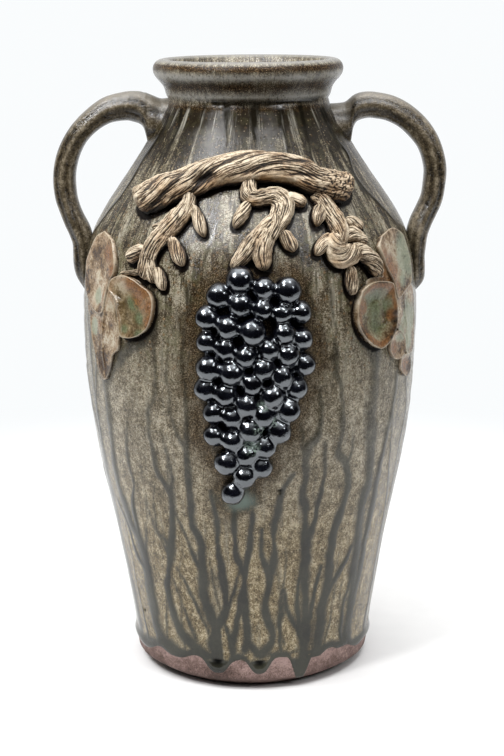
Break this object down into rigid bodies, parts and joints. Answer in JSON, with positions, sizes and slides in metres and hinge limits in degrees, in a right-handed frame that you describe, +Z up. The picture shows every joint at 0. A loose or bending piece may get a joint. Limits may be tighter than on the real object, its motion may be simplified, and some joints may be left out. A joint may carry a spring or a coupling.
{
  "type": "stoneware jar",
  "caption": "Tall stoneware jar with strap handles, a flared neck, a rolled lip and an applied grapevine: branch, twigs, buds, leaves and a hanging bunch of grapes.",
  "frame": {"origin": "centre of the flat foot, on the surface the jar stands on", "axes": "+Z up along the jar's axis, -Y towards the front that carries the grapes, +X towards the right handle"},
  "size_m": [0.2866, 0.2589, 0.45],
  "materials": {
    "jar_glaze": "glossy runny ash glaze, olive grey with dark blue-grey runs",
    "handle_glaze": "glossy speckled brown olive glaze",
    "vine_clay": "matt bare clay with dark stain in its grooves",
    "bud_clay": "matt bare clay with dark stain in its grooves",
    "leaf_glaze": "satin brown glaze with green pools",
    "grape_glaze": "glossy blue-black glaze"
  },
  "bodies": {
    "root": {"jar_body": "jar_glaze", "left_handle": "handle_glaze", "right_handle": "handle_glaze", "vine_branch": "vine_clay", "left_twig": "vine_clay", "centre_twig": "vine_clay", "right_twig": "vine_clay", "left_bud_1": "bud_clay", "left_bud_2": "bud_clay", "left_bud_3": "bud_clay", "left_bud_4": "bud_clay", "centre_bud_1": "bud_clay", "centre_bud_2": "bud_clay", "centre_bud_3": "bud_clay", "right_bud_1": "bud_clay", "right_bud_2": "bud_clay", "right_bud_3": "bud_clay", "right_bud_4": "bud_clay", "right_bud_5": "bud_clay", "left_leaf": "leaf_glaze", "right_leaf": "leaf_glaze", "grape_row_1": "grape_glaze", "grape_row_2": "grape_glaze", "grape_row_3": "grape_glaze", "grape_row_4": "grape_glaze", "grape_row_5": "grape_glaze", "grape_row_6": "grape_glaze", "grape_row_7": "grape_glaze", "grape_row_8": "grape_glaze", "grape_row_9": "grape_glaze", "grape_row_10": "grape_glaze", "grape_row_11": "grape_glaze"}
  },
  "joints": []
}
